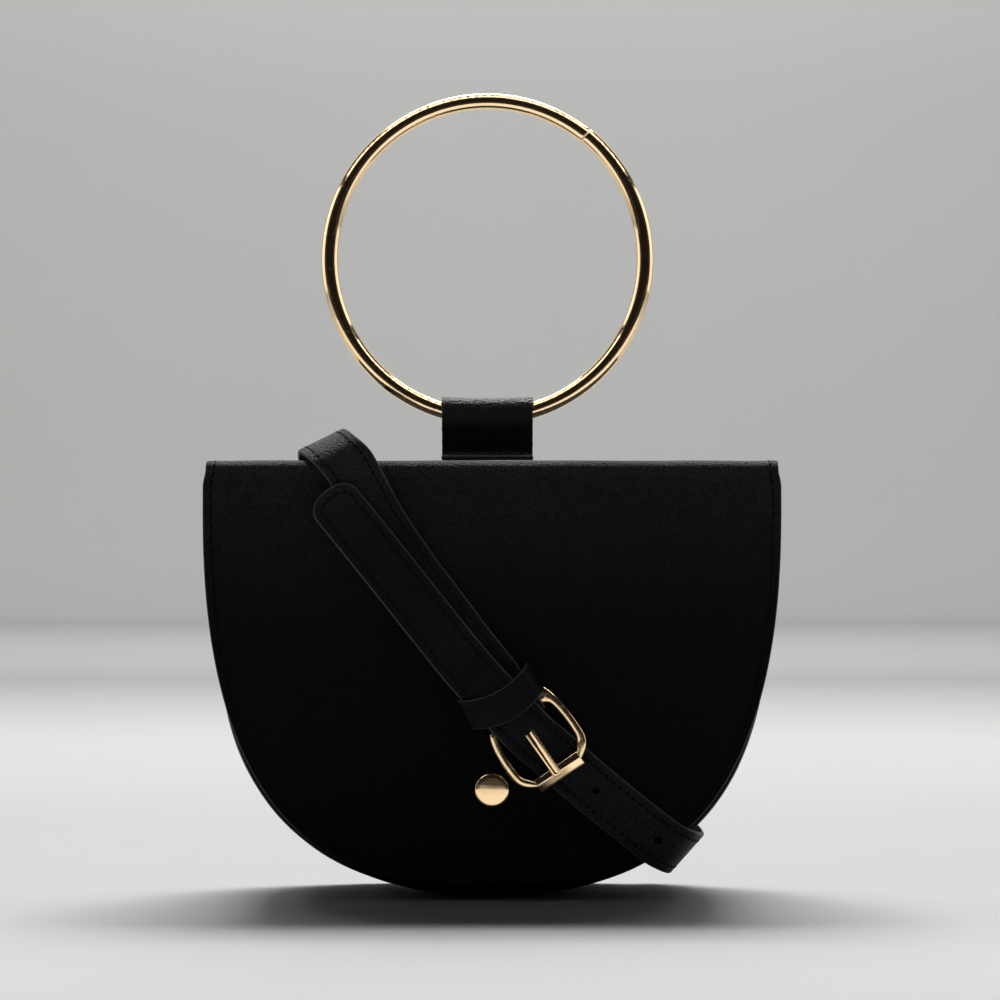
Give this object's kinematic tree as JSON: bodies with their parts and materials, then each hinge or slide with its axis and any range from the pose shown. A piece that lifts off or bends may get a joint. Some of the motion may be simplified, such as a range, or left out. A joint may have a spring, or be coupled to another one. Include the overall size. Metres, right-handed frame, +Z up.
{
  "type": "ring handle bag",
  "caption": "Black half-moon leather handbag with a gold ring handle, a front flap with a snap cap and a buckled strap wrapped round it.",
  "frame": {"origin": "middle of the flat patch of the gusset that the bag rests on", "axes": "+Z up from the floor to the ring, +Y from the flap to the back, +X to the right as seen from the front"},
  "size_m": [0.2, 0.0694, 0.282],
  "materials": {
    "bag_leather": "fine pebble grain, soft sheen",
    "strap_leather": "matte fine grain, lighter cut edges",
    "gold_metal": "polished pale gold"
  },
  "bodies": {
    "bag": {"back_and_flap": "bag_leather", "front_panel": "bag_leather", "gusset": "bag_leather", "strap": "strap_leather", "ring_tab": "bag_leather", "snap_cap": "gold_metal", "buckle_frame": "gold_metal", "buckle_prong": "gold_metal", "buckle_plate": "gold_metal", "strap_keeper": "strap_leather"},
    "ring": {"ring_handle": "gold_metal"}
  },
  "joints": [
    {"name": "ring_spin", "type": "hinge", "parent": "bag", "child": "ring", "pos_m": [-0.0017, 0, 0.2234], "axis": [0, 1, 0], "continuous": true}
  ]
}
